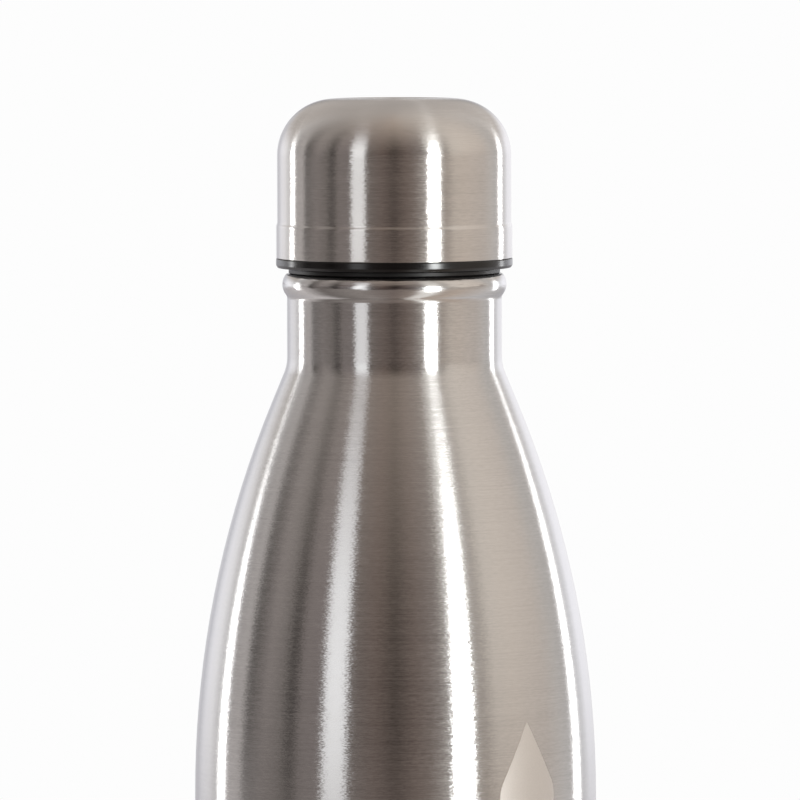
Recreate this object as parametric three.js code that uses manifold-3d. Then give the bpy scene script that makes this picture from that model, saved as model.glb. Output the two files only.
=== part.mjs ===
// A 500 ml double-walled vacuum bottle with a screw stopper, as separate pieces.
// Millimetres, +Z up. The origin is the centre of the foot ring, so z = 0 is the table.
import * as THREE from "three";
import { mergeVertices } from "three/addons/utils/BufferGeometryUtils.js";
import Module from "manifold-3d";

// Driving dimensions of the bottle
const HEIGHT = 265;
const BODY_RADIUS = 35;
const NECK_RADIUS = 18.7;
const SHEET = 0.4; // wall of every deep-drawn steel piece
const VACUUM_GAP = 4.8; // between the two walls of the straight body
const GAP = 0.05; // clearance left where two pieces touch
const LIP_Z = 234.6; // sealing face of the mouth
const MOUTH_RADIUS = 15.6; // bore of the inner neck

// Foot and base
const FOOT_BEND = 9; // radius of the body's rounded bottom edge
const FOOT_INNER = 22; // inner edge of the foot ring
const RECESS = 2.6; // depth of the base recess, to the steel
const BASE_BEND = 0.8;
const VENT_RADIUS = 0.8; // hole the air is drawn out through
const DIMPLE_RADIUS = 2.6;
const DIMPLE_DEPTH = 1.6;
const COVER_THICKNESS = 0.5;
const COVER_RING = 13; // radius of the stiffening ring pressed into the cover
const COVER_RING_WIDTH = 1.6;
const COVER_RING_PROUD = 0.25;
const SEAL_BEAD = 1.6; // radius of the glass drop that closes the vent
const SEAL_DROP = 0.9; // how far it hangs down

// Shoulder, measured on the outer wall
const SHOULDER_ANGLE = 22.5; // degrees from the axis, at the steepest
const SHOULDER_ARC = 179;
const NECK_FILLET = 7.2;
const NECK_BASE_Z = 220.1; // where the straight neck ends and the fillet starts

// Rolled bead under the lip
const BEAD_PROUD = 0.82;
const BEAD_ANGLE = 38.4; // degrees the wall turns outwards at the foot of the bead
const BEAD_FOOT_BEND = 0.9;
const BEAD_TOP_ARC = 2.8;
const BEAD_TOP_ANGLE = 36;
const LIP_BEND = 0.5;
const LIP_SEAM = 0.15; // between the outer lip and the inner neck, where the real ones are welded

// Inner flask
const INNER_RADIUS = BODY_RADIUS - SHEET - VACUUM_GAP;
const INNER_NECK_RADIUS = MOUTH_RADIUS + SHEET;
const INNER_NECK_BASE_Z = 219.6;
const INNER_SHOULDER_ARC = 155;
const INNER_NECK_FILLET = 10;
const INNER_BEND = 9;
const INNER_FLOOR_Z = 9;
const INNER_FLOOR_RISE = 3; // degrees the dished floor climbs towards its edge
const INNER_SEAM_Z = INNER_FLOOR_Z + INNER_BEND + 2; // where the floor is welded to the wall
const FOIL_THICKNESS = 0.1;
const FOIL_CLEARANCE = 0.2;
const FOIL_BOTTOM_Z = 21;
const FOIL_TOP_Z = 141;

// Closure, with z counted up from the lip
const CAP_RADIUS = 20.36;
const CAP_CORNER = 9.8;
const CAP_TOP = HEIGHT - LIP_Z;
const CAP_STEP = 0.18; // how much wider the lower band is
const CAP_BAND = 5.9; // height of that band
const SEAL_THICKNESS = 1.05;
const SEAL_CLEARANCE = 0.25; // round the plug
const SEAL_RADIUS = 18.4;
const SEAL_EDGE = 0.25; // radius of its moulded edges
const FLANGE_RADIUS = 20.6;
const FLANGE_THICKNESS = 1.6;
const FLANGE_BEVEL = 0.3; // under the rim, measured inwards
const FLANGE_BEVEL_HEIGHT = 0.5;
const PLUG_RADIUS = 14;
const PLUG_DEPTH = 13.8; // below the lip
const PLUG_WALL = 1.5;
const PLUG_CHAMFER = 0.8;
const SKIRT_WALL = 1.2;
const SKIRT_TOP = 16;
const LID_THICKNESS = 1.2;
const FOAM_CLEARANCE = 0.25;

// Thread: the same pitch inside the neck and on the plug, right-handed
const PITCH = 4;
const THREAD_FOOT = 1.5; // width at the root
const THREAD_CREST = 0.7; // width at the crest
const NECK_THREAD_CREST_RADIUS = 14.6;
const NECK_THREAD_TURNS = 1.4;
const NECK_THREAD_TOP = -3.4;
const PLUG_THREAD_CREST_RADIUS = 15.15;
const PLUG_THREAD_TURNS = 1.75;
const PLUG_THREAD_LAG = 1.5; // how far below the neck's thread the plug's thread runs
const THREAD_FADE = 1 / 8; // part of a turn over which each end fades out
const THREAD_ROOT = 0.25; // how far the ridge is sunk into its wall

// Getter
const GETTER_RADIUS = 4;
const GETTER_HEIGHT = 2;
const GETTER_OFFSET = 11;
const CLIP_WIDTH = 3;
const CLIP_SHEET = 0.3;
const CLIP_FOOT = 2.5;

// Facets round each turned piece
const FINE = 40;
const COARSE = 32;
const SMALL = 20;

const wasm = await Module();
wasm.setup();

const radians = THREE.MathUtils.degToRad;
const at = (r, z) => new THREE.Vector2(r, z);

// A half-section drawn like a turtle: x is the radius, y the height, and the heading is in degrees.
class Outline {
  constructor(r, z, heading = 0) {
    this.points = [at(r, z)];
    this.heading = heading;
  }
  get end() {
    return this.points[this.points.length - 1];
  }
  line(length) {
    const a = radians(this.heading);
    return this.to(this.end.x + length * Math.cos(a), this.end.y + length * Math.sin(a));
  }
  to(r, z) {
    this.points.push(at(r, z));
    return this;
  }
  // Turns by an angle in degrees, left when positive, along an arc.
  bend(radius, turn, steps) {
    const side = Math.sign(turn);
    const centre = this.end.clone().add(
      at(-Math.sin(radians(this.heading)), Math.cos(radians(this.heading))).multiplyScalar(side * radius),
    );
    for (let i = 1; i <= steps; i++) {
      const a = radians(this.heading + (turn * i) / steps - side * 90);
      this.to(centre.x + radius * Math.cos(a), centre.y + radius * Math.sin(a));
    }
    this.heading += turn;
    return this;
  }
}

// The points moved to the left of the way the outline runs, with mitred corners.
function offset(points, distance) {
  const normal = (a, b) => at(a.y - b.y, b.x - a.x).normalize();
  return points.map((p, i) => {
    const before = i > 0 ? normal(points[i - 1], p) : normal(p, points[i + 1]);
    const after = i < points.length - 1 ? normal(p, points[i + 1]) : before;
    const mitre = before.clone().add(after).normalize();
    const reach = distance / mitre.dot(after);
    return at(Math.max(0, p.x + mitre.x * reach), p.y + mitre.y * reach);
  });
}

// The section of a sheet whose one face is the outline and whose other face lies to its left.
function sheet(outline, thickness = SHEET) {
  return [...outline.points, ...offset(outline.points, thickness).reverse()];
}

// A closed solid of revolution about Z. The section runs from axis to axis, or is a loop.
function turned(section, facets) {
  const area = THREE.ShapeUtils.area(section);
  const points = area > 0 ? section.slice() : section.slice().reverse();
  if (points[0].x > 0) points.push(points[0].clone());
  return new THREE.LatheGeometry(points, facets).rotateX(Math.PI / 2);
}

// A helical ridge: a section swept up to topZ at azimuth 0, which shrinks into the wall at both ends.
function ridge(wallRadius, crestRadius, turns, topZ) {
  const outwards = Math.sign(crestRadius - wallRadius);
  const root = wallRadius - outwards * THREAD_ROOT;
  const section = [
    at(root, -THREAD_FOOT / 2),
    at(crestRadius, -THREAD_CREST / 2),
    at(crestRadius, THREAD_CREST / 2),
    at(root, THREAD_FOOT / 2),
  ];
  if (outwards < 0) section.reverse();
  section.push(section[0].clone());
  const steps = Math.round(turns * COARSE);
  const geometry = new THREE.LatheGeometry(section, steps);
  const position = geometry.getAttribute("position");
  for (let i = 0; i < position.count; i++) {
    const turn = (Math.floor(i / section.length) / steps) * turns;
    const fade = Math.min(1, turn / THREAD_FADE, (turns - turn) / THREAD_FADE);
    const point = section[i % section.length];
    const r = root + (point.x - root) * fade;
    const angle = 2 * Math.PI * (turn - turns);
    const z = topZ + PITCH * (turn - turns) + point.y * fade;
    position.setXYZ(i, r * Math.cos(angle), r * Math.sin(angle), z);
  }
  return geometry;
}

// Manifold solids, for joining a thread to its wall.
function solid(geometry) {
  const bare = geometry.clone();
  bare.deleteAttribute("normal");
  bare.deleteAttribute("uv");
  const merged = mergeVertices(bare, 1e-4);
  return new wasm.Manifold(
    new wasm.Mesh({
      numProp: 3,
      vertProperties: new Float32Array(merged.getAttribute("position").array),
      triVerts: new Uint32Array(merged.index.array),
    }),
  );
}

function joined(a, b) {
  const made = solid(a).add(solid(b)).getMesh();
  const geometry = new THREE.BufferGeometry();
  geometry.setAttribute("position", new THREE.BufferAttribute(made.vertProperties, 3));
  geometry.setIndex(new THREE.BufferAttribute(made.triVerts, 1));
  geometry.computeVertexNormals();
  return geometry;
}

// Materials
function finish(color, roughness, metalness) {
  return new THREE.MeshStandardMaterial({ color, roughness, metalness });
}

const brushedSteel = finish(0xb4aeaa, 0.32, 1);
const plainSteel = finish(0xa9a6a3, 0.45, 1);
const copper = finish(0xb87349, 0.35, 1);
const blackPlastic = finish(0x121111, 0.35, 0);
const blackSilicone = finish(0x0c0c0c, 0.6, 0);
const whiteFoam = finish(0xf0efea, 0.95, 0);
const getterAlloy = finish(0x6d6a66, 0.7, 0.6);
const sealingGlass = finish(0x4a3d2c, 0.15, 0);

function piece(name, geometry, material, parent) {
  const mesh = new THREE.Mesh(geometry, material);
  mesh.name = name;
  parent.add(mesh);
  return mesh;
}

// Draws a straight wall and a bottle shoulder from where the outline stands, going up, to the neck's base.
function shoulder(outline, neckRadius, neckBaseZ, arc, fillet, steps) {
  const angle = radians(SHOULDER_ANGLE);
  const bendRun = (arc + fillet) * (1 - Math.cos(angle));
  const cone = (outline.end.x - neckRadius - bendRun) / Math.sin(angle);
  const rise = (arc + fillet) * Math.sin(angle) + cone * Math.cos(angle);
  outline.line(neckBaseZ - rise - outline.end.y);
  outline.bend(arc, SHOULDER_ANGLE, steps);
  outline.line(cone);
  outline.bend(fillet, -SHOULDER_ANGLE, 3);
  return outline;
}

// Outer wall: rounded foot, straight body, shoulder, neck, rolled bead and inturned lip.
function outerShell() {
  const outline = new Outline(BODY_RADIUS - FOOT_BEND - SHEET, 0);
  outline.line(SHEET).bend(FOOT_BEND, 90, 5);
  shoulder(outline, NECK_RADIUS, NECK_BASE_Z, SHOULDER_ARC, NECK_FILLET, 7);
  const proudArc = BEAD_PROUD / (1 - Math.cos(radians(BEAD_ANGLE)));
  const beadTopRise = BEAD_TOP_ARC * Math.sin(radians(BEAD_TOP_ANGLE))
    + LIP_BEND * (1 - Math.sin(radians(BEAD_TOP_ANGLE)));
  const beadFootZ = LIP_Z - beadTopRise - proudArc * Math.sin(radians(BEAD_ANGLE));
  outline.line(beadFootZ - outline.end.y);
  outline.bend(BEAD_FOOT_BEND, -BEAD_ANGLE, 2);
  outline.bend(proudArc - BEAD_FOOT_BEND, BEAD_ANGLE, 3);
  outline.bend(BEAD_TOP_ARC, BEAD_TOP_ANGLE, 3);
  outline.bend(LIP_BEND, 90 - BEAD_TOP_ANGLE, 2);
  outline.to(INNER_NECK_RADIUS + LIP_SEAM, LIP_Z);
  return turned(sheet(outline), FINE);
}

// Outer base: a pressed cup with the foot ring, the recess and a dimple round the vent hole.
function outerBase() {
  const outline = new Outline(VENT_RADIUS, RECESS + DIMPLE_DEPTH);
  outline.line(DIMPLE_RADIUS - VENT_RADIUS - BASE_BEND).bend(BASE_BEND, -90, 2);
  outline.bend(BASE_BEND, 90, 2).line(FOOT_INNER - BASE_BEND - outline.end.x - BASE_BEND);
  outline.bend(BASE_BEND, -90, 2).line(RECESS - 2 * BASE_BEND).bend(BASE_BEND, 90, 2);
  outline.to(BODY_RADIUS - FOOT_BEND - SHEET - 2 * GAP, 0);
  return turned(sheet(outline), COARSE);
}

// Thin disc glued into the recess, with a shallow ring pressed into it.
function baseCover() {
  const rim = FOOT_INNER - 2 * BASE_BEND - SHEET;
  const outline = new Outline(0, -COVER_THICKNESS).to(COVER_RING - COVER_RING_WIDTH / 2, -COVER_THICKNESS);
  outline.to(COVER_RING, -COVER_THICKNESS - COVER_RING_PROUD);
  outline.to(COVER_RING + COVER_RING_WIDTH / 2, -COVER_THICKNESS).to(rim, -COVER_THICKNESS);
  return turned([...outline.points, at(rim, 0), at(0, 0)], COARSE);
}

// Drop of sealing glass that closes the vent hole after the air is drawn out.
function ventSeal() {
  const stem = VENT_RADIUS - 2 * GAP;
  const outline = new Outline(0, -SEAL_DROP).line(SEAL_BEAD - SEAL_DROP).bend(SEAL_DROP, 90, 4);
  outline.to(stem, 0).to(stem, SHEET).to(0, SHEET);
  return turned(outline.points, SMALL);
}

// Inner wall: straight body, shoulder and threaded neck.
function innerFlask() {
  const outline = new Outline(INNER_RADIUS, INNER_SEAM_Z, 90);
  shoulder(outline, INNER_NECK_RADIUS, INNER_NECK_BASE_Z, INNER_SHOULDER_ARC, INNER_NECK_FILLET, 6);
  outline.to(INNER_NECK_RADIUS, LIP_Z);
  const wall = turned(sheet(outline), COARSE);
  const thread = ridge(MOUTH_RADIUS, NECK_THREAD_CREST_RADIUS, NECK_THREAD_TURNS, LIP_Z + NECK_THREAD_TOP);
  return joined(wall, thread);
}

// Floor of the inner flask, a shallow dish butt-welded to the wall.
function innerFloor() {
  const outline = new Outline(0, INNER_FLOOR_Z, INNER_FLOOR_RISE);
  const bend = 90 - INNER_FLOOR_RISE;
  const flat = (INNER_RADIUS - INNER_BEND * (1 - Math.sin(radians(INNER_FLOOR_RISE))))
    / Math.cos(radians(INNER_FLOOR_RISE));
  outline.line(flat).bend(INNER_BEND, bend, 4);
  outline.to(INNER_RADIUS, INNER_SEAM_Z - GAP);
  return turned(sheet(outline), COARSE);
}

// Copper foil wrapped round the straight part of the inner flask.
function radiationFoil() {
  const inside = INNER_RADIUS + FOIL_CLEARANCE;
  const outside = inside + FOIL_THICKNESS;
  const section = [
    at(inside, FOIL_BOTTOM_Z),
    at(outside, FOIL_BOTTOM_Z),
    at(outside, FOIL_TOP_Z),
    at(inside, FOIL_TOP_Z),
  ];
  return turned(section, COARSE);
}

// Spring-steel strap over the getter pill, with a foot at each side.
function getterClip() {
  const inner = GETTER_RADIUS + 2 * GAP;
  const outer = inner + CLIP_SHEET;
  const roof = GETTER_HEIGHT + 2 * GAP;
  const right = [
    at(inner, 0),
    at(inner + CLIP_FOOT, 0),
    at(inner + CLIP_FOOT, CLIP_SHEET),
    at(outer, CLIP_SHEET),
    at(outer, roof + CLIP_SHEET),
  ];
  const left = right.map((p) => at(-p.x, p.y)).reverse();
  const shape = new THREE.Shape([...right, ...left, at(-inner, roof), at(inner, roof)]);
  const strap = new THREE.ExtrudeGeometry(shape, { depth: CLIP_WIDTH, bevelEnabled: false });
  return strap.translate(0, 0, -CLIP_WIDTH / 2).rotateX(Math.PI / 2);
}

// Steel dome of the closure, drawn from the top down, so the metal lies to the right of the outline.
function capShell() {
  const outline = new Outline(0, CAP_TOP).line(CAP_RADIUS - CAP_CORNER).bend(CAP_CORNER, -90, 8);
  const bottom = SEAL_THICKNESS + FLANGE_THICKNESS + GAP;
  outline.to(CAP_RADIUS, bottom + CAP_BAND + CAP_STEP).to(CAP_RADIUS + CAP_STEP, bottom + CAP_BAND);
  outline.to(CAP_RADIUS + CAP_STEP, bottom);
  return turned(sheet(outline, -SHEET), FINE);
}

// Moulded stopper: threaded plug, flange and the skirt that fills the dome.
const skirtRadius = CAP_RADIUS - SHEET - 2 * GAP;
const skirtBore = skirtRadius - SKIRT_WALL;
const flangeTop = SEAL_THICKNESS + FLANGE_THICKNESS;
const plugBore = PLUG_RADIUS - PLUG_WALL;

function stopperBody() {
  const outline = new Outline(0, -PLUG_DEPTH).to(PLUG_RADIUS - PLUG_CHAMFER, -PLUG_DEPTH);
  outline.to(PLUG_RADIUS, PLUG_CHAMFER - PLUG_DEPTH).to(PLUG_RADIUS, SEAL_THICKNESS);
  outline.to(FLANGE_RADIUS - FLANGE_BEVEL, SEAL_THICKNESS);
  outline.to(FLANGE_RADIUS, SEAL_THICKNESS + FLANGE_BEVEL_HEIGHT);
  outline.to(FLANGE_RADIUS, flangeTop).to(skirtRadius, flangeTop).to(skirtRadius, SKIRT_TOP);
  outline.to(skirtBore, SKIRT_TOP).to(skirtBore, flangeTop + SKIRT_WALL).to(plugBore, flangeTop + SKIRT_WALL);
  outline.to(plugBore, PLUG_WALL - PLUG_DEPTH).to(0, PLUG_WALL - PLUG_DEPTH);
  const moulding = turned(outline.points, FINE);
  const top = NECK_THREAD_TOP - PLUG_THREAD_LAG;
  return joined(moulding, ridge(PLUG_RADIUS, PLUG_THREAD_CREST_RADIUS, PLUG_THREAD_TURNS, top));
}

// Foam that fills the plug and the skirt.
function foamInsert() {
  const c = FOAM_CLEARANCE;
  const step = flangeTop + SKIRT_WALL + c;
  const outline = new Outline(0, PLUG_WALL - PLUG_DEPTH + c).to(plugBore - c, PLUG_WALL - PLUG_DEPTH + c);
  outline.to(plugBore - c, step).to(skirtBore - c, step);
  outline.to(skirtBore - c, SKIRT_TOP - 2 * LID_THICKNESS).to(0, SKIRT_TOP - 2 * LID_THICKNESS);
  return turned(outline.points, COARSE);
}

// Lid welded over the foam, with a rim that drops into the skirt.
function stopperLid() {
  const spigot = skirtBore - 2 * GAP;
  const outline = new Outline(0, -LID_THICKNESS).to(spigot, -LID_THICKNESS).to(spigot, GAP);
  outline.to(skirtRadius - GAP, GAP).to(skirtRadius - GAP, LID_THICKNESS).to(0, LID_THICKNESS);
  return turned(outline.points, FINE);
}

// Flat silicone ring between the flange and the lip, with rounded edges.
function sealRing() {
  const inside = PLUG_RADIUS + SEAL_CLEARANCE;
  const half = SEAL_THICKNESS / 2 - GAP;
  const outline = new Outline(inside, -half).line(SEAL_RADIUS - SEAL_EDGE - inside).bend(SEAL_EDGE, 90, 2);
  outline.to(SEAL_RADIUS, half - SEAL_EDGE).bend(SEAL_EDGE, 90, 2).to(inside, half);
  return turned(outline.points, FINE);
}

const bottle = new THREE.Group();
piece("outer_shell", outerShell(), brushedSteel, bottle);
piece("inner_flask", innerFlask(), plainSteel, bottle);
piece("inner_floor", innerFloor(), plainSteel, bottle);
piece("radiation_foil", radiationFoil(), copper, bottle);

const base = new THREE.Group();
piece("outer_base", outerBase(), brushedSteel, base);
piece("base_cover", baseCover(), brushedSteel, base).position.z = RECESS - 2 * GAP;
piece("vent_seal", ventSeal(), sealingGlass, base).position.z = RECESS + DIMPLE_DEPTH - GAP;
bottle.add(base);

const getter = new THREE.Group();
getter.position.set(GETTER_OFFSET, 0, RECESS + SHEET);
const pill = new THREE.CylinderGeometry(GETTER_RADIUS, GETTER_RADIUS, GETTER_HEIGHT, SMALL);
pill.rotateX(Math.PI / 2);
piece("getter_pill", pill, getterAlloy, getter).position.z = GETTER_HEIGHT / 2 + GAP;
piece("getter_clip", getterClip(), plainSteel, getter).position.z = GAP;
bottle.add(getter);

const closure = new THREE.Group();
closure.position.z = LIP_Z;
piece("seal_ring", sealRing(), blackSilicone, closure).position.z = SEAL_THICKNESS / 2;
piece("stopper_body", stopperBody(), blackPlastic, closure);
piece("foam_insert", foamInsert(), whiteFoam, closure);
piece("stopper_lid", stopperLid(), blackPlastic, closure).position.z = SKIRT_TOP + GAP;
piece("cap_shell", capShell(), brushedSteel, closure);

const model = new THREE.Group();
model.add(bottle, closure);

export default model;
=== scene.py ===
"""A double-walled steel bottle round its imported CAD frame, in fine turned meshes, in a plain studio."""

import math

import bpy
from mathutils import Matrix, Vector


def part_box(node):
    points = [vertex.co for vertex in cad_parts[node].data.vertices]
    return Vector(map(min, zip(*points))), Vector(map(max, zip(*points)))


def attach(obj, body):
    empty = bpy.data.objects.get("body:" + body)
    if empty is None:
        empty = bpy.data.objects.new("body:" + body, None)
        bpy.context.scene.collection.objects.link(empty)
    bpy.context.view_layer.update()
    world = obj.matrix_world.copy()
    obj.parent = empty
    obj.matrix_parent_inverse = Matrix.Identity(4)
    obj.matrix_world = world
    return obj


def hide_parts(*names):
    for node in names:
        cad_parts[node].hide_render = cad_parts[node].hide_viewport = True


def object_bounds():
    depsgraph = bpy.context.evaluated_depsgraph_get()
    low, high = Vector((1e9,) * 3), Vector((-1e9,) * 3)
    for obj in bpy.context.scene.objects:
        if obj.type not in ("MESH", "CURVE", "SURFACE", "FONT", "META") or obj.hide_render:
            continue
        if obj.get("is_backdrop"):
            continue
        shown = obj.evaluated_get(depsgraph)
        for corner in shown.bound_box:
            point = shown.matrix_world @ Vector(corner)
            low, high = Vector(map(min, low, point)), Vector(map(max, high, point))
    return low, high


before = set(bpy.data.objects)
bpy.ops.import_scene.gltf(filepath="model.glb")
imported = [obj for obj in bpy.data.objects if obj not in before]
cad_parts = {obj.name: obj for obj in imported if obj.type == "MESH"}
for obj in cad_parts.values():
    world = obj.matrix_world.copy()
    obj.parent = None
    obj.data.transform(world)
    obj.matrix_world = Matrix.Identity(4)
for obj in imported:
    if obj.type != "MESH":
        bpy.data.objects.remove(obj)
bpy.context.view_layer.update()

MM = 0.001
Z_AXIS = Vector((0, 0, 1))

# Shapes, in millimetres and degrees
SHEET = 0.4  # wall of every drawn steel piece
GAP = 0.05  # clearance where two pieces touch
FOOT_BEND = 9
SHOULDER_ANGLE = 22.5
SHOULDER_ARC = 179
NECK_RADIUS = 18.7
NECK_FILLET = 7.2
NECK_BASE = 14.5  # below the lip
BEAD_PROUD = 0.82
BEAD_ANGLE = 38.4
BEAD_FOOT_BEND = 0.9
BEAD_TOP_ARC = 2.8
BEAD_TOP_ANGLE = 36
BEAD_HEIGHT = 4.2
BEAD_LINE = 1.5  # where a painted dark reflection runs round the bead in dashes, below the lip
BEAD_LINE_HALF_WIDTH = 0.2
BEAD_LINE_EDGE = 0.25
POLISH_EDGE = 0.15  # over which the polished bead turns into brushed wall, up and down
LIP_BEND = 0.5
CAP_CORNER = 9.8
CAP_BAND = 5.9  # height of the cap's lower band
CAP_STEP = 0.18  # how much wider the band is
CAP_STEP_HEIGHT = 0.9  # over which the wall eases out to it
EDGE = 0.15  # radius of a trimmed or moulded edge
FLANGE_BEVEL = 0.3  # under the rim, measured inwards
FLANGE_BEVEL_HEIGHT = 0.5
SEAL_EDGE = 0.25  # radius of its moulded edges
SEAL_CLEARANCE = 0.25  # round the plug
PLUG_RADIUS = 14
PLUG_CHAMFER = 0.8
PLUG_WALL = 1.5
SKIRT_WALL = 1.2
BASE_BEND = 0.8
FOOT_INNER = 22
VENT_RADIUS = 0.8
DIMPLE_RADIUS = 2.6
COVER_RING = 13  # radius of the ring pressed into the cover disc
COVER_RING_WIDTH = 1.6
COVER_RING_PROUD = 0.25
INNER_SHOULDER_ARC = 155
INNER_NECK_FILLET = 10
INNER_NECK_BASE = 15  # below the lip
MOUTH_RADIUS = 15.6

# Threads: height outwards from the wall, number of turns, and level of the top end above the lip
PITCH = 4
THREAD_FOOT = 1.5  # width at the root
THREAD_CREST = 0.7  # width at the crest
THREAD_FADE = 1 / 8  # part of a turn over which each end fades out
PLUG_THREAD = {"height": 1.15, "turns": 1.75, "top": -4.9}
NECK_THREAD = {"height": -1.0, "turns": 1.4, "top": -3.4}
THREAD_ROW = 0.06  # between the rows of points that carry it

# Mesh fineness
SEGMENTS = 192
ARC_STEP = 3  # degrees
LONGEST_SPAN = 4
SHARP_ANGLE = 40  # degrees
TOUCHES_AXIS = 1e-6  # a smaller radius counts as none
ON_WALL = 1e-3  # how near a wall's radius a point has to be to carry its thread

# Camera: a long lens a little above the cap, 1.6 m away
SENSOR = 36
CAMERA_DISTANCE = 1600
CAMERA_HEIGHT = 306.4
AIM_HEIGHT = 212.5
AIM_RIGHT = 0.93
VIEW_WIDTH = 139.4
CAMERA_ROLL = -0.13  # degrees
CLIP_START = 10
CLIP_END = 50000

# Etched drop, the only mark on the body
MARK_AZIMUTH = 41  # degrees round from the front, to the right
MARK_RADIUS = 6.2
MARK_TIP = 13  # from the centre of the drop's round part
MARK_BELOW_LIP = 89
MARK_EDGE = 0.06  # blur of its outline

# Floor: a disc with a faded rim
FLOOR_RADIUS = 1200
FLOOR_RINGS = 24
FLOOR_SPOKES = 96
FLOOR_DROP = 0.05  # under the foot, so that the two faces don't fight
FLOOR_FADE = (0.35, 0.98)  # where the fade starts and ends, as parts of the radius
FLOOR_GREY = 0.92


# ---------------------------------------------------------------- sections

class Outline:
    """A half-section drawn as a turtle walks: radius and height in mm, heading in degrees from outwards."""

    def __init__(self, r, z, heading=0):
        self.points = [(r, z)]
        self.heading = heading

    def to(self, r, z):
        r0, z0 = self.points[-1]
        spans = max(1, math.ceil(math.hypot(r - r0, z - z0) / LONGEST_SPAN))
        for i in range(1, spans + 1):
            self.points.append((r0 + (r - r0) * i / spans, z0 + (z - z0) * i / spans))
        return self

    def line(self, length):
        a = math.radians(self.heading)
        r, z = self.points[-1]
        return self.to(r + length * math.cos(a), z + length * math.sin(a))

    def bend(self, radius, turn):
        side = math.copysign(1, turn)
        a = math.radians(self.heading)
        r, z = self.points[-1]
        centre = (r - side * radius * math.sin(a), z + side * radius * math.cos(a))
        length = radius * math.radians(abs(turn))
        steps = max(2, math.ceil(abs(turn) / ARC_STEP), math.ceil(length / LONGEST_SPAN))
        for i in range(1, steps + 1):
            a = math.radians(self.heading + turn * i / steps - side * 90)
            self.points.append((centre[0] + radius * math.cos(a), centre[1] + radius * math.sin(a)))
        self.heading += turn
        return self

    def level(self):
        return self.points[-1][1]

    def radius(self):
        return self.points[-1][0]


def offset(points, distance):
    """The points moved to the left of the way they run, with mitred corners."""
    def normal(a, b):
        length = math.hypot(b[0] - a[0], b[1] - a[1])
        return Vector(((a[1] - b[1]) / length, (b[0] - a[0]) / length))

    moved = []
    for i, p in enumerate(points):
        after = normal(p, points[i + 1]) if i < len(points) - 1 else normal(points[i - 1], p)
        before = normal(points[i - 1], p) if i else after
        mitre = (before + after).normalized()
        reach = distance / mitre.dot(after)
        moved.append((max(0.0, p[0] + mitre.x * reach), p[1] + mitre.y * reach))
    return moved


def sheet(outline, thickness=SHEET):
    """The section of a sheet whose one face is the outline and whose other face lies to its left."""
    return outline.points + offset(outline.points, thickness)[::-1]


def signed_area(points):
    pairs = zip(points, points[1:] + points[:1])
    return sum(a[0] * b[1] - b[0] * a[1] for a, b in pairs) / 2


def wall_faces(rows):
    """Faces between neighbouring rows of vertices: quads, or triangles where a row is a point on the axis."""
    faces = []
    for lower, upper in zip(rows, rows[1:]):
        for k in range(SEGMENTS):
            n = (k + 1) % SEGMENTS
            corners = dict.fromkeys((lower[k], lower[n], upper[n], upper[k]))
            if len(corners) > 2:
                faces.append(tuple(corners))
    return faces


def turned(name, section, body, stands_for, relief=None):
    """A closed mesh of revolution about Z, from a closed section or one that runs from axis to axis, in mm.

    relief(angle, r, z) gives how far a point of the wall stands out from it. The mesh carries the distance
    along the section as the attribute "meridian", for brushed finishes that follow the turning."""
    points = section if signed_area(section) > 0 else section[::-1]
    travelled = 0.0
    rows, vertices, meridian = [], [], []
    for i, (r, z) in enumerate(points):
        if i:
            travelled += math.dist(points[i - 1], (r, z))
        if r < TOUCHES_AXIS:
            rows.append([len(vertices)] * SEGMENTS)
            vertices.append((0, 0, z * MM))
            meridian.append(travelled * MM)
            continue
        rows.append(range(len(vertices), len(vertices) + SEGMENTS))
        for k in range(SEGMENTS):
            angle = 2 * math.pi * k / SEGMENTS
            out = r + (relief(angle, r, z) if relief else 0)
            vertices.append((out * math.cos(angle) * MM, out * math.sin(angle) * MM, z * MM))
            meridian.append(travelled * MM)
    if points[0][0] >= TOUCHES_AXIS:
        rows.append(rows[0])
    mesh = bpy.data.meshes.new(name)
    mesh.from_pydata(vertices, [], wall_faces(rows))
    mesh.attributes.new("meridian", "FLOAT", "POINT").data.foreach_set("value", meridian)
    mesh.shade_smooth()
    mesh.set_sharp_from_angle(angle=math.radians(SHARP_ANGLE))
    obj = bpy.data.objects.new(name, mesh)
    bpy.context.scene.collection.objects.link(obj)
    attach(obj, body)
    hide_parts(stands_for)
    return obj


def smooth(t):
    """An S-shaped step from 0 to 1 as t goes from 0 to 1."""
    t = min(1.0, max(0.0, t))
    return t * t * (3 - 2 * t)


def thread_relief(wall, lip, height, turns, top):
    """How far a rolled right-hand thread stands out of a wall of that radius."""
    def relief(angle, r, z):
        if abs(r - wall) > ON_WALL:
            return 0.0
        best = 0.0
        last = angle / (2 * math.pi)
        for turn in range(-math.ceil(turns) - 1, 1):
            along = last + turn  # turns past the top end, which is at angle 0
            if along > 0 or along < -turns:
                continue
            fade = min(1.0, -along / THREAD_FADE, (turns + along) / THREAD_FADE)
            away = abs(z - (lip + top + PITCH * along))
            flank = (THREAD_FOOT - THREAD_CREST) / 2
            best = max(best, smooth((THREAD_FOOT / 2 - away) / flank) * smooth(fade))
        return best * height
    return relief


# ---------------------------------------------------------------- pieces

def mm(value):
    """A length of the frame, which is in metres, in mm."""
    return value / MM


def shoulder(outline, neck_radius, neck_base, arc, fillet):
    """A straight wall and a bottle shoulder, going up to the foot of the neck."""
    angle = math.radians(SHOULDER_ANGLE)
    cone = (outline.radius() - neck_radius - (arc + fillet) * (1 - math.cos(angle))) / math.sin(angle)
    rise = (arc + fillet) * math.sin(angle) + cone * math.cos(angle)
    outline.line(neck_base - rise - outline.level())
    return outline.bend(arc, SHOULDER_ANGLE).line(cone).bend(fillet, -SHOULDER_ANGLE)


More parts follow.
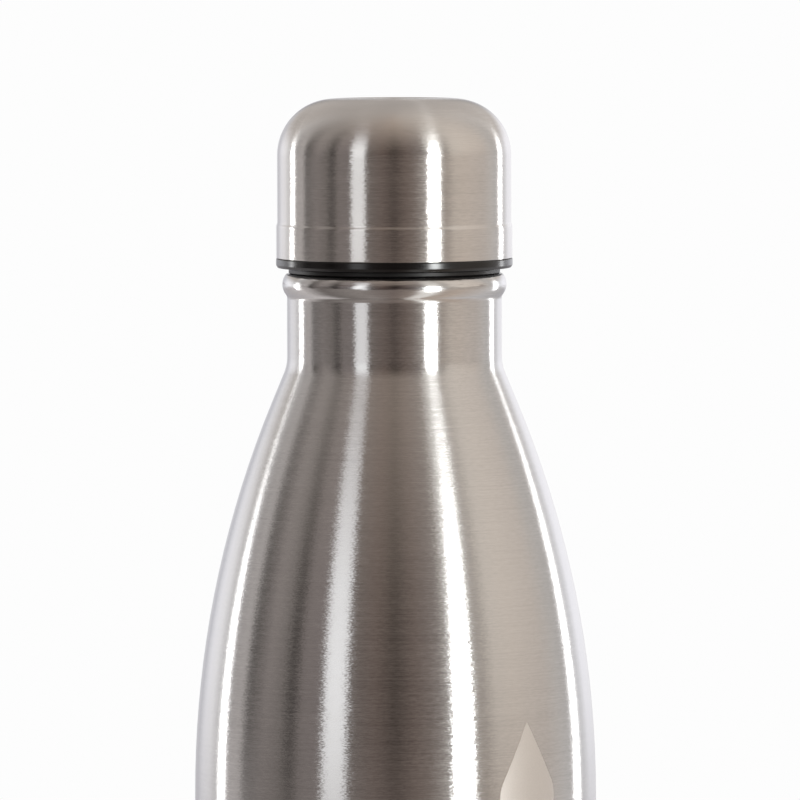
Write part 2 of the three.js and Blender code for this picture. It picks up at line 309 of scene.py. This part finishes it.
def bottle_wall():
    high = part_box("outer_shell")[1]
    lip = mm(high.z)
    outline = Outline(mm(high.x) - FOOT_BEND - SHEET, 0)
    outline.line(SHEET).bend(FOOT_BEND, 90)
    shoulder(outline, NECK_RADIUS, lip - NECK_BASE, SHOULDER_ARC, NECK_FILLET)
    bead_arc = BEAD_PROUD / (1 - math.cos(math.radians(BEAD_ANGLE)))
    top_sine = math.sin(math.radians(BEAD_TOP_ANGLE))
    bead_top = BEAD_TOP_ARC * top_sine + LIP_BEND * (1 - top_sine)
    outline.line(lip - bead_top - bead_arc * math.sin(math.radians(BEAD_ANGLE)) - outline.level())
    outline.bend(BEAD_FOOT_BEND, -BEAD_ANGLE).bend(bead_arc - BEAD_FOOT_BEND, BEAD_ANGLE)
    outline.bend(BEAD_TOP_ARC, BEAD_TOP_ANGLE).bend(LIP_BEND, 90 - BEAD_TOP_ANGLE)
    outline.to(MOUTH_RADIUS + SHEET + GAP, lip)
    return turned("bottle_wall", sheet(outline), "bottle", "outer_shell")


def base_cup():
    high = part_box("outer_base")[1]
    top = mm(high.z) - SHEET
    recess = mm(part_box("base_cover")[1].z) + 2 * GAP
    outline = Outline(VENT_RADIUS, top).line(DIMPLE_RADIUS - VENT_RADIUS - BASE_BEND)
    outline.bend(BASE_BEND, -90).bend(BASE_BEND, 90)
    outline.line(FOOT_INNER - 2 * BASE_BEND - outline.radius()).bend(BASE_BEND, -90)
    outline.line(recess - 2 * BASE_BEND).bend(BASE_BEND, 90).to(mm(high.x), 0)
    return turned("base_cup", sheet(outline), "bottle", "outer_base")


def base_disc():
    low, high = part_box("base_cover")
    under = mm(low.z) + COVER_RING_PROUD
    rim = mm(high.x)
    half = COVER_RING_WIDTH / 2
    outline = Outline(0, under)
    outline.line(COVER_RING - half)
    ease_aside(outline, -COVER_RING_PROUD, half)
    ease_aside(outline, COVER_RING_PROUD, half)
    outline.line(rim - EDGE - outline.radius()).bend(EDGE, 90)
    outline.to(rim, mm(high.z)).to(0, mm(high.z))
    return turned("base_disc", outline.points, "bottle", "base_cover")


def inner_wall():
    low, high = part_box("inner_flask")
    lip = mm(high.z)
    bore = MOUTH_RADIUS
    outline = Outline(mm(high.x) - SHEET, mm(low.z), 90)
    shoulder(outline, bore, lip - INNER_NECK_BASE, INNER_SHOULDER_ARC + SHEET, INNER_NECK_FILLET - SHEET)
    outer = offset(outline.points + [(bore, lip)], -SHEET)
    threaded = range(1, math.floor(INNER_NECK_BASE / THREAD_ROW))
    outline.points += [(bore, lip - INNER_NECK_BASE + i * THREAD_ROW) for i in threaded]
    section = outline.points + [(bore, lip), (bore + SHEET, lip)] + outer[::-1][1:]
    return turned("inner_wall", section, "bottle", "inner_flask", thread_relief(bore, lip, **NECK_THREAD))


def gasket():
    low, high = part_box("seal_ring")
    bore = PLUG_RADIUS + SEAL_CLEARANCE
    outline = Outline(bore, mm(low.z)).to(mm(high.x) - SEAL_EDGE, mm(low.z)).bend(SEAL_EDGE, 90)
    outline.to(mm(high.x), mm(high.z) - SEAL_EDGE).bend(SEAL_EDGE, 90).to(bore, mm(high.z))
    return turned("gasket", outline.points, "seal", "seal_ring")


def stopper():
    low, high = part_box("stopper_body")
    lip = mm(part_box("outer_shell")[1].z)
    bottom, top = mm(low.z), mm(high.z)
    flange = mm(high.x)
    flange_low = mm(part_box("seal_ring")[1].z) + GAP
    flange_high = mm(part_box("cap_shell")[0].z) - GAP
    skirt = mm(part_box("stopper_lid")[1].x) + GAP
    outline = Outline(0, bottom).to(PLUG_RADIUS - PLUG_CHAMFER, bottom)
    outline.to(PLUG_RADIUS, bottom + PLUG_CHAMFER)
    rows = math.floor((flange_low - bottom - PLUG_CHAMFER) / THREAD_ROW)
    outline.points += [(PLUG_RADIUS, bottom + PLUG_CHAMFER + i * THREAD_ROW) for i in range(1, rows)]
    outline.points.append((PLUG_RADIUS, flange_low))
    lean = math.atan2(FLANGE_BEVEL, FLANGE_BEVEL_HEIGHT)
    bevel = FLANGE_BEVEL_HEIGHT / math.cos(lean) - EDGE
    outline.to(flange - EDGE - bevel * math.sin(lean), flange_low)
    outline.bend(EDGE, 90 - math.degrees(lean)).line(bevel).bend(EDGE, math.degrees(lean))
    outline.to(flange, flange_high - EDGE).bend(EDGE, 90)
    outline.to(skirt, flange_high).to(skirt, top).to(skirt - SKIRT_WALL, top)
    outline.to(skirt - SKIRT_WALL, flange_high + SKIRT_WALL)
    outline.to(PLUG_RADIUS - PLUG_WALL, flange_high + SKIRT_WALL)
    outline.to(PLUG_RADIUS - PLUG_WALL, bottom + PLUG_WALL).to(0, bottom + PLUG_WALL)
    relief = thread_relief(PLUG_RADIUS, lip, **PLUG_THREAD)
    return turned("stopper", outline.points, "closure", "stopper_body", relief)


def ease_aside(outline, step, run):
    """Two equal arcs that carry the outline to its left by the step while it goes on by the run."""
    lean = 2 * math.atan2(step, run)
    arc = run / (2 * math.sin(abs(lean)))
    outline.bend(arc, math.degrees(lean)).bend(arc, -math.degrees(lean))


def cap_dome():
    low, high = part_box("cap_shell")
    bottom, top = mm(low.z), mm(high.z)
    wall = mm(high.x) - CAP_STEP
    outline = Outline(0, top).line(wall - CAP_CORNER).bend(CAP_CORNER, -90)
    outline.line(outline.level() - bottom - CAP_BAND - CAP_STEP_HEIGHT / 2)
    ease_aside(outline, CAP_STEP, CAP_STEP_HEIGHT)
    outline.line(outline.level() - bottom - EDGE).bend(EDGE, -90)
    inner = offset(outline.points[:-1], -SHEET)
    return turned("cap_dome", outline.points + inner[::-1], "closure", "cap_shell")


# ---------------------------------------------------------------- shader arithmetic

class Field:
    """A number worked out by shader nodes, written with ordinary arithmetic."""

    def __init__(self, tree, socket):
        self.tree = tree
        self.socket = socket

    def math(self, operation, *others):
        made = self.tree.nodes.new("ShaderNodeMath")
        made.operation = operation
        for slot, value in zip(made.inputs, (self, *others)):
            feed(self.tree, slot, value)
        return Field(self.tree, made.outputs[0])

    def __add__(self, other):
        return self.math("ADD", other)

    def __sub__(self, other):
        return self.math("SUBTRACT", other)

    def __mul__(self, other):
        return self.math("MULTIPLY", other)

    def __truediv__(self, other):
        return self.math("DIVIDE", other)

    def ramp(self, start, end, smooth_step=True):
        """0 at start and beyond it, 1 at end and beyond that. Start may be the greater of the two."""
        made = self.tree.nodes.new("ShaderNodeMapRange")
        made.interpolation_type = "SMOOTHSTEP" if smooth_step else "LINEAR"
        feed(self.tree, made.inputs["Value"], self)
        made.inputs["From Min"].default_value = min(start, end)
        made.inputs["From Max"].default_value = max(start, end)
        made.inputs["To Min"].default_value = 0 if start < end else 1
        made.inputs["To Max"].default_value = 1 if start < end else 0
        return Field(self.tree, made.outputs["Result"])

    def inside(self, centre, half_width, edge):
        """1 near the centre and 0 far from it, with a soft edge to each side of half_width."""
        return (self - centre).math("ABSOLUTE").ramp(half_width + edge, half_width - edge)


def feed(tree, slot, value):
    """Links a field or socket to an input, or sets the input to a plain value."""
    if isinstance(value, Field):
        tree.links.new(value.socket, slot)
    elif isinstance(value, bpy.types.NodeSocket):
        tree.links.new(value, slot)
    elif isinstance(value, tuple) and len(value) == 3 and slot.type == "RGBA":
        slot.default_value = (*value, 1)
    else:
        slot.default_value = value


def node(tree, kind, **inputs):
    """A shader node with its inputs fed, spaces in their names written as underscores."""
    made = tree.nodes.new("ShaderNode" + kind)
    for name, value in inputs.items():
        feed(tree, made.inputs[name.replace("_", " ")], value)
    return made


def vector(tree, operation, a, b=None):
    """The output of a vector operation, b being the factor where it scales."""
    made = tree.nodes.new("ShaderNodeVectorMath")
    made.operation = operation
    feed(tree, made.inputs[0], a)
    if b is not None:
        feed(tree, made.inputs["Scale"] if operation == "SCALE" else made.inputs[1], b)
    return made.outputs["Value"] if operation in ("DOT_PRODUCT", "LENGTH") else made.outputs["Vector"]


def combine(tree, x, y, z):
    return node(tree, "CombineXYZ", X=x, Y=y, Z=z).outputs[0]


def split(tree, socket):
    return [Field(tree, out) for out in node(tree, "SeparateXYZ", Vector=socket).outputs]


# The Mix node has sockets of the same name for each kind of value; these are the places of its colour ones
MIX_COLOUR_A = 6
MIX_COLOUR_B = 7
MIX_COLOUR_RESULT = 2


def mix(tree, factor, a, b):
    """Blend of two colours, a at factor 0."""
    made = tree.nodes.new("ShaderNodeMix")
    made.data_type = "RGBA"
    feed(tree, made.inputs["Factor"], factor)
    feed(tree, made.inputs[MIX_COLOUR_A], a)
    feed(tree, made.inputs[MIX_COLOUR_B], b)
    return made.outputs[MIX_COLOUR_RESULT]


def noise(tree, where, scale=1.0, detail=2.0, roughness=0.5):
    made = node(tree, "TexNoise", Vector=where, Scale=scale, Detail=detail, Roughness=roughness)
    return Field(tree, made.outputs["Fac"])


def linear(*rgb):
    """Linear light from sRGB display values of 0 to 255."""
    return tuple(((c / 255 + 0.055) / 1.055) ** 2.4 if c > 10 else c / 255 / 12.92 for c in rgb)


# ---------------------------------------------------------------- materials

class Material:
    """A Principled surface with the coordinates that the finishes here are worked out from."""

    def __init__(self, name, **inputs):
        self.material = bpy.data.materials.new(name)
        self.material.use_nodes = True
        self.tree = self.material.node_tree
        self.shader = self.tree.nodes["Principled BSDF"]
        self.where = node(self.tree, "TexCoord").outputs["Object"]
        self.x, self.y, self.z = split(self.tree, self.where)
        self.set(**inputs)

    def set(self, **inputs):
        for name, value in inputs.items():
            feed(self.tree, self.shader.inputs[name.replace("_", " ")], value)

    def meridian(self):
        along = self.tree.nodes.new("ShaderNodeAttribute")
        along.attribute_name = "meridian"
        return Field(self.tree, along.outputs["Fac"])

    def streaks(self, across, length, width, detail=2.0):
        """Noise drawn out into streaks round the axis, in mm. Their width is along the coordinate across."""
        where = combine(self.tree, self.x / (length * MM), self.y / (length * MM), across / (width * MM))
        return noise(self.tree, where, detail=detail)

    def tinted(self, colour, amount, field):
        """The colour made lighter and darker by a field that averages a half."""
        bright = (field - 0.5) * (2 * amount) + 1.0
        return vector(self.tree, "SCALE", combine(self.tree, *colour), bright)

    def swung_normal(self, swing):
        """The surface normal swung round the axis by an angle in radians."""
        normal = node(self.tree, "NewGeometry").outputs["Normal"]
        sideways = vector(self.tree, "CROSS_PRODUCT", tuple(Z_AXIS), normal)
        tilt = vector(self.tree, "SCALE", sideways, swing)
        return vector(self.tree, "NORMALIZE", vector(self.tree, "ADD", normal, tilt))

    def bumped(self, height, distance, strength):
        """The surface normal over bumps of that height field, up to distance mm high at full strength."""
        return node(self.tree, "Bump", Height=height, Distance=distance * MM, Strength=strength).outputs[0]


# Colours, in linear light
STEEL = (0.60, 0.585, 0.57)
BODY_STEEL = (0.575, 0.568, 0.562)
# Painted dark reflection: the colour of the dashes on the bead that stand in for the dim horizon mirrored
# there
PAINTED_DARK_REFLECTION = (0.16, 0.11, 0.09)
FROSTED_STEEL = (0.62, 0.59, 0.56)
DRAWN_STEEL = (0.57, 0.56, 0.55)
COPPER = (0.83, 0.44, 0.27)
GETTER_GREY = (0.16, 0.155, 0.15)
GLASS_BROWN = (0.09, 0.06, 0.03)
PLASTIC_BLACK = (0.0016, 0.0013, 0.0013)
SILICONE_BLACK = (0.004, 0.0036, 0.0036)
FOAM_WHITE = (0.85, 0.84, 0.81)


def brushed(name, streak_length, streak_width, swing, colour=STEEL, contrast=0.16, roughness=0.22):
    """Steel brushed round its axis: it blurs reflections along the axis, and its lines throw them aside.

    Swing is the most that a line turns the normal, in radians. What is added to the meridian only keeps the
    layers of streaks from falling on each other."""
    m = Material(name, Metallic=1.0)
    along = m.meridian()
    fine = m.streaks(along, streak_length, streak_width, detail=1)
    long = m.streaks(along + 0.7, streak_length * 12, streak_width, detail=1)
    broad = m.streaks(along, streak_length * 20, streak_width * 12)
    glint = m.streaks(along + 0.3, streak_length * 0.4, streak_width * 0.7, detail=0)
    lines = fine * 0.45 + long * 0.35 + broad * 0.2
    m.colour = m.tinted(colour, contrast, lines)
    m.rough = (lines - 0.5) * 0.2 + roughness
    m.aside = (glint * 0.9 + long * 0.1 - 0.5) * (2 * swing)
    radial = m.tree.nodes.new("ShaderNodeTangent")
    radial.direction_type = "RADIAL"
    radial.axis = "Z"
    m.set(Base_Color=m.colour, Roughness=m.rough, Anisotropic=1.0)
    m.set(Anisotropic_Rotation=0.25, Tangent=radial.outputs[0], Normal=m.swung_normal(m.aside))
    return m


def drop_mask(m, lip):
    """1 inside the outline of a water drop on the body, tip up."""
    azimuth = m.x.math("ARCTAN2", m.y * -1.0)
    radius = mm(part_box("outer_shell")[1].x)
    u = ((azimuth - math.radians(MARK_AZIMUTH)) * radius).math("ABSOLUTE")
    v = m.z / MM - (lip - MARK_BELOW_LIP)
    lean = math.asin(MARK_RADIUS / MARK_TIP)
    touch = MARK_RADIUS * math.sin(lean)  # height at which the straight flanks meet the round part
    disc = (u * u + v * v).math("SQRT").ramp(MARK_RADIUS + MARK_EDGE, MARK_RADIUS - MARK_EDGE)
    flank = u * math.cos(lean) + v * math.sin(lean)
    flank = flank.ramp(MARK_RADIUS + MARK_EDGE, MARK_RADIUS - MARK_EDGE)
    above = v.ramp(touch - MARK_EDGE, touch + MARK_EDGE)
    return disc.math("MAXIMUM", flank * above)


def body_steel():
    """Brushed body and neck, a polished bead that is not quite even, with a painted dark reflection in dashes
    round it, and the etched drop.
    """
    m = brushed("body_steel", streak_length=1.1, streak_width=0.22, swing=0.033,
                colour=BODY_STEEL, contrast=0.19)
    lip = mm(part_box("outer_shell")[1].z)
    bead_foot = lip - BEAD_HEIGHT
    polished = m.z.ramp((bead_foot - POLISH_EDGE) * MM, (bead_foot + POLISH_EDGE) * MM)
    etched = drop_mask(m, lip)
    grain = noise(m.tree, m.where, scale=4500, detail=3)
    frosted = m.tinted(FROSTED_STEEL, 0.08, grain)
    brushed_part = (polished * -1.0 + 1.0) * (etched * -1.0 + 1.0)
    waves = m.streaks(m.z, length=5, width=0.6) * polished
    # Painted reflection: dark dashes in the base colour along a line round the bead, where the dim horizon
    # shows in the polished steel
    painted_reflection_dashes = m.streaks(m.z, length=7, width=1.2, detail=3).ramp(0.5, 0.6)
    line = m.z.inside((lip - BEAD_LINE) * MM, BEAD_LINE_HALF_WIDTH * MM, BEAD_LINE_EDGE * MM)
    steel_with_painted_reflection = mix(m.tree, painted_reflection_dashes * line * 0.6, m.colour, PAINTED_DARK_REFLECTION)
    m.set(Base_Color=mix(m.tree, etched, steel_with_painted_reflection, frosted))
    rough = m.rough * brushed_part + polished * 0.16 + etched * 0.5
    m.set(Roughness=rough, Anisotropic=brushed_part)
    swung = m.swung_normal(m.aside * brushed_part)
    m.set(Normal=node(m.tree, "Bump", Height=waves, Distance=0.05 * MM, Normal=swung).outputs[0])
    return m.material


def cap_steel():
    return brushed("cap_steel", streak_length=1.3, streak_width=0.2, swing=0.029).material


def base_steel():
    return brushed("base_steel", streak_length=2.5, streak_width=0.25, swing=0.03, roughness=0.3).material


def drawn_steel():
    """Inner flask: electropolished steel with a faint drawn grain along the axis."""
    m = Material("drawn_steel", Metallic=1.0)
    grain = m.streaks(m.z, length=0.8, width=14)
    cloud = noise(m.tree, m.where, scale=90, detail=3)
    m.set(Base_Color=m.tinted(DRAWN_STEEL, 0.1, grain * 0.5 + cloud * 0.5))
    m.set(Roughness=(cloud - 0.5) * 0.2 + 0.34)
    m.set(Normal=m.bumped(grain, distance=0.02, strength=0.4))
    return m.material


def copper_foil():
    m = Material("copper_foil", Metallic=1.0)
    wrinkle = noise(m.tree, m.where, scale=160, detail=4, roughness=0.6)
    m.set(Base_Color=m.tinted(COPPER, 0.15, wrinkle))
    m.set(Roughness=(wrinkle - 0.5) * 0.25 + 0.32)
    m.set(Normal=m.bumped(wrinkle, distance=0.15, strength=0.6))
    return m.material


def getter_alloy():
    m = Material("getter_alloy", Metallic=0.6)
    grit = noise(m.tree, m.where, scale=2500, detail=4, roughness=0.7)
    m.set(Base_Color=m.tinted(GETTER_GREY, 0.4, grit))
    m.set(Roughness=(grit - 0.5) * 0.2 + 0.75)
    m.set(Normal=m.bumped(grit, distance=0.05, strength=0.8))
    return m.material


def sealing_glass():
    m = Material("sealing_glass", Coat_Weight=0.6, Coat_Roughness=0.05)
    cloud = noise(m.tree, m.where, scale=900, detail=3)
    m.set(Base_Color=m.tinted(GLASS_BROWN, 0.4, cloud), Roughness=(cloud - 0.5) * 0.1 + 0.15)
    return m.material


def moulded_plastic():
    """Black polypropylene: a satin moulded skin with faint flow lines."""
    m = Material("moulded_plastic", IOR=1.52)
    skin = noise(m.tree, m.where, scale=3000, detail=2)
    flow = m.streaks(m.z, length=6, width=0.5)
    m.set(Base_Color=m.tinted(PLASTIC_BLACK, 0.3, flow))
    m.set(Roughness=(flow - 0.5) * 0.12 + (skin - 0.5) * 0.04 + 0.19)
    m.set(Normal=m.bumped(skin * 0.6 + flow * 0.4, distance=0.004, strength=0.5))
    return m.material


def silicone():
    m = Material("silicone", IOR=1.42)
    skin = noise(m.tree, m.where, scale=2200, detail=3)
    m.set(Base_Color=m.tinted(SILICONE_BLACK, 0.3, skin), Roughness=(skin - 0.5) * 0.15 + 0.42)
    m.set(Normal=m.bumped(skin, distance=0.02, strength=0.5))
    return m.material


def foam():
    m = Material("foam", Roughness=0.95)
    cells = node(m.tree, "TexVoronoi", Vector=m.where, Scale=700)
    cell = Field(m.tree, cells.outputs["Distance"])
    m.set(Base_Color=m.tinted(FOAM_WHITE, 0.08, cell))
    m.set(Normal=m.bumped(cell, distance=0.3, strength=0.6))
    return m.material


def dress(obj, material):
    """One material over the whole piece."""
    obj.data.materials.clear()
    obj.data.materials.append(material)


def dress_all():
    brushed_body = body_steel()
    brushed_base = base_steel()
    plain = drawn_steel()
    plastic = moulded_plastic()
    dress(bottle_wall(), brushed_body)
    dress(cap_dome(), cap_steel())
    dress(base_cup(), brushed_base)
    dress(base_disc(), brushed_base)
    dress(inner_wall(), plain)
    dress(stopper(), plastic)
    dress(gasket(), silicone())
    hidden = {
        "inner_floor": plain,
        "getter_clip": plain,
        "radiation_foil": copper_foil(),
        "getter_pill": getter_alloy(),
        "vent_seal": sealing_glass(),
        "foam_insert": foam(),
        "stopper_lid": plastic,
    }
    for name, material in hidden.items():
        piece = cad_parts[name]
        for slot in piece.material_slots:
            slot.material = material


# ---------------------------------------------------------------- studio

# The room that the steel mirrors, by degrees round from the camera's own direction, to its right.
# Each colour is what a steel wall shows of it.
ROOM = [
    (-180, (234, 233, 236)),
    (-170, (210, 209, 213)),
    (-160, (190, 189, 194)),
    (-146, (236, 234, 237)),
    (-136, (238, 235, 236)),
    (-127, (198, 196, 195)),
    (-112, (146, 140, 137)),
    (-103, (172, 165, 161)),
    (-97, (54, 50, 47)),
    (-82, (134, 125, 121)),
    (-72, (112, 105, 101)),
    (-64, (8, 6, 6)),
    (-57, (118, 109, 106)),
    (-46, (108, 99, 97)),
    (-26, (92, 84, 80)),
    (-12, (84, 70, 64)),
    (0, (16, 9, 7)),
    (12, (84, 71, 66)),
    (26, (108, 99, 95)),
    (53, (150, 142, 134)),
    (62, (200, 190, 179)),
    (76, (203, 191, 179)),
    (98, (193, 181, 170)),
    (114, (176, 170, 164)),
    (121, (168, 163, 159)),
    (140, (212, 210, 212)),
    (149, (246, 244, 248)),
    (180, (242, 241, 243)),
]
# The same, seen well below the horizon and overhead
LOWER_ROOM = [
    (-180, (178, 176, 182)),
    (-113, (184, 177, 174)),
    (-82, (104, 97, 93)),
    (-40, (132, 124, 119)),
    (0, (108, 96, 90)),
    (73, (173, 158, 145)),
    (119, (184, 179, 176)),
    (180, (178, 176, 182)),
]
CEILING = [
    (-180, (165, 158, 152)),
    (-90, (164, 155, 147)),
    (-30, (166, 152, 141)),
    (0, (176, 160, 147)),
    (60, (184, 174, 164)),
    (120, (182, 173, 165)),
    (180, (165, 158, 152)),
]
# Lit strips: azimuth, half-width and soft edge, lowest and highest elevation and how softly the top fades,
# colour and brightness
STRIPS = [
    (40.5, 9, 4, 14, 45, 22, (213, 207, 199), 1),
    (38, 12, 6, -75, -16, 8, (218, 212, 205), 1),
    (40, 4.9, 1.5, -20, 7, 7, (255, 255, 252), 13),
    (-36, 7.2, 2, -8, 32, 19, (250, 248, 247), 1.02),
    (-120, 2.6, 2, -12, 7, 6, (255, 252, 250), 5),
    (-125, 2, 1.5, 18, 60, 15, (205, 200, 196), 1),
    (129.5, 3, 2, -14, 10, 8, (255, 253, 252), 4),
    (133, 2.5, 1.5, 18, 60, 15, (214, 209, 204), 1),
]
BACKDROP_FROM = 118  # degrees round to each side at which the white backdrop starts
BACKDROP_FADE = 10
BACKDROP = 0.982
# Elevations, in degrees, over which the walls turn into the ceiling in front, at the back, and into the floor
CEILING_RISE = (12, 82)
CEILING_RISE_BEHIND = (5, 18)
FLOOR_FALL = (-2, -9)
PATCHES = 0.3  # how uneven the ceiling is
DIFFUSE_LIGHT = 0.9  # what matt surfaces get from all round
# Dim bands, by elevation as centre, half-width and edge: one round the front, and one right behind the bottle
HORIZON_BAND = (-2, 4, 3)
HORIZON_SIDES = (115, 95)  # degrees round from which it ends, and up to which it is whole
HORIZON_SHADE = 0.4
HORIZON_COLOUR = (0.02, 0.012, 0.01)
REAR_BAND = (11, 6, 5)
REAR_SIDES = (165, 174)
REAR_SHADE = 0.55
REAR_COLOUR = (0.12, 0.11, 0.11)
STRIP_FOOT = 5  # how softly the strips start at the bottom


def mirrored(colour, azimuth=0.0, gain=1.0):
    """Light that a steel wall shows as that display colour, when it comes from that azimuth.

    By Schlick's rule, the steel mirrors more of it the more it grazes the wall."""
    grazing = (1 - math.cos(math.radians(azimuth / 2))) ** 5
    return tuple(c * gain / (s + (1 - s) * grazing) for c, s in zip(linear(*colour), STEEL))


def around(tree, azimuth, colours, upright=1):
    """Colours spread round the horizon, as an upright wall shows them, or with upright 0 a level face."""
    band = tree.nodes.new("ShaderNodeValToRGB")
    feed(tree, band.inputs[0], azimuth / 360 + 0.5)
    stops = band.color_ramp.elements
    while len(stops) > 1:
        stops.remove(stops[-1])
    for i, (degrees, colour) in enumerate(colours):
        place = degrees / 360 + 0.5
        stop = stops[0] if i == 0 else stops.new(place)
        stop.position = place
        stop.color = (*mirrored(colour, degrees * upright), 1)
    return band.outputs["Color"]


def seen_from_camera(tree, direction):
    """Azimuth and elevation of a direction in degrees, the azimuth from the camera's side to its right."""
    right = tree.nodes.new("ShaderNodeVectorTransform")
    right.vector_type = "VECTOR"
    right.convert_from = "CAMERA"
    right.convert_to = "WORLD"
    right.inputs[0].default_value = (1, 0, 0)
    across = Field(tree, vector(tree, "DOT_PRODUCT", direction, right.outputs[0]))
    towards_camera = vector(tree, "CROSS_PRODUCT", right.outputs[0], tuple(Z_AXIS))
    towards = Field(tree, vector(tree, "DOT_PRODUCT", direction, towards_camera))
    azimuth = across.math("ARCTAN2", towards) * (180 / math.pi)
    elevation = split(tree, direction)[2].math("ARCSINE") * (180 / math.pi)
    return azimuth, elevation


def room(tree, direction, azimuth, elevation):
    """The dim room: walls, ceiling and floor, and the two dim bands."""
    aside = azimuth.math("ABSOLUTE")
    behind = aside.ramp(BACKDROP_FROM, BACKDROP_FROM + BACKDROP_FADE)
    upward = elevation.ramp(*CEILING_RISE, smooth_step=False)
    upward = upward.math("MAXIMUM", behind * elevation.ramp(*CEILING_RISE_BEHIND))
    patches = noise(tree, direction, scale=4, detail=1) * PATCHES + (1 - PATCHES / 2)
    overhead = vector(tree, "SCALE", around(tree, azimuth, CEILING, upright=0), patches)
    seen = mix(tree, upward, around(tree, azimuth, ROOM), overhead)
    seen = mix(tree, elevation.ramp(*FLOOR_FALL), seen, around(tree, azimuth, LOWER_ROOM))
    horizon = elevation.inside(*HORIZON_BAND) * aside.ramp(*HORIZON_SIDES)
    seen = mix(tree, horizon * HORIZON_SHADE, seen, HORIZON_COLOUR)
    rear = aside.ramp(*REAR_SIDES) * elevation.inside(*REAR_BAND)
    return mix(tree, rear * REAR_SHADE, seen, REAR_COLOUR)


def studio():
    """White to the camera; the steel sees strip lights and a dim room, which turn with the camera."""
    world = bpy.data.worlds.new("studio")
    bpy.context.scene.world = world
    world.use_nodes = True
    tree = world.node_tree
    tree.nodes.clear()
    direction = node(tree, "TexCoord").outputs["Generated"]
    azimuth, elevation = seen_from_camera(tree, direction)
    seen = room(tree, direction, azimuth, elevation)
    for centre, half_width, edge, low, high, fade, colour, gain in STRIPS:
        above = elevation.ramp(low - STRIP_FOOT, low + STRIP_FOOT)
        below = elevation.ramp(high + fade, high - fade)
        lit = azimuth.inside(centre, half_width, edge) * above * below
        seen = mix(tree, lit, seen, mirrored(colour, centre, gain))

    path = node(tree, "LightPath")
    seen = mix(tree, path.outputs["Is Diffuse Ray"], seen, (DIFFUSE_LIGHT,) * 3)
    seen = mix(tree, path.outputs["Is Camera Ray"], seen, (BACKDROP,) * 3)
    background = node(tree, "Background", Color=seen)
    output = tree.nodes.new("ShaderNodeOutputWorld")
    tree.links.new(background.outputs[0], output.inputs["Surface"])


def disc_mesh(name, radius, rings, spokes):
    """A flat disc of that radius in metres, in rings and spokes."""
    vertices = [(0, 0, 0)]
    for i in range(1, rings + 1):
        r = radius * i / rings
        for k in range(spokes):
            angle = 2 * math.pi * k / spokes
            vertices.append((r * math.cos(angle), r * math.sin(angle), 0))
    faces = [(0, 1 + k, 1 + (k + 1) % spokes) for k in range(spokes)]
    for i in range(rings - 1):
        a, b = 1 + i * spokes, 1 + (i + 1) * spokes
        faces += [(a + k, b + k, b + (k + 1) % spokes, a + (k + 1) % spokes) for k in range(spokes)]
    mesh = bpy.data.meshes.new(name)
    mesh.from_pydata(vertices, [], faces)
    return mesh


def fading_floor():
    """Pale in the middle and clear at the rim."""
    material = bpy.data.materials.new("studio_floor")
    material.use_nodes = True
    tree = material.node_tree
    tree.nodes.clear()
    place = node(tree, "TexCoord").outputs["Object"]
    away = Field(tree, vector(tree, "LENGTH", place))
    start, end = (FLOOR_RADIUS * MM * part for part in FLOOR_FADE)
    pale = node(tree, "BsdfDiffuse", Color=(FLOOR_GREY,) * 3)
    clear = node(tree, "BsdfTransparent")
    blend = tree.nodes.new("ShaderNodeMixShader")
    feed(tree, blend.inputs[0], away.ramp(start, end))
    tree.links.new(pale.outputs[0], blend.inputs[1])
    tree.links.new(clear.outputs[0], blend.inputs[2])
    output = tree.nodes.new("ShaderNodeOutputMaterial")
    tree.links.new(blend.outputs[0], output.inputs["Surface"])
    return material


def floor():
    """A pale disc under the bottle that fades into the backdrop. The steel doesn't mirror it."""
    mesh = disc_mesh("studio_floor", FLOOR_RADIUS * MM, FLOOR_RINGS, FLOOR_SPOKES)
    obj = bpy.data.objects.new("studio_floor", mesh)
    bpy.context.scene.collection.objects.link(obj)
    obj.visible_glossy = False
    obj.location.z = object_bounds()[0][2] - FLOOR_DROP * MM
    obj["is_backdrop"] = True
    obj.data.materials.append(fading_floor())


def camera():
    data = bpy.data.cameras.new("camera")
    obj = bpy.data.objects.new("camera", data)
    bpy.context.scene.collection.objects.link(obj)
    eye = Vector((0, -CAMERA_DISTANCE, CAMERA_HEIGHT)) * MM
    aim = Vector((AIM_RIGHT, 0, AIM_HEIGHT)) * MM
    data.sensor_width = SENSOR
    data.lens = SENSOR * (aim - eye).length / (VIEW_WIDTH * MM)
    turn = (aim - eye).to_track_quat("-Z", "Y").to_matrix().to_4x4()
    roll = Matrix.Rotation(math.radians(CAMERA_ROLL), 4, "Z")
    obj.matrix_world = Matrix.Translation(eye) @ turn @ roll
    data.clip_start = CLIP_START * MM
    data.clip_end = CLIP_END * MM
    bpy.context.scene.camera = obj


bpy.context.scene.view_settings.view_transform = "Standard"
dress_all()
studio()
floor()
camera()
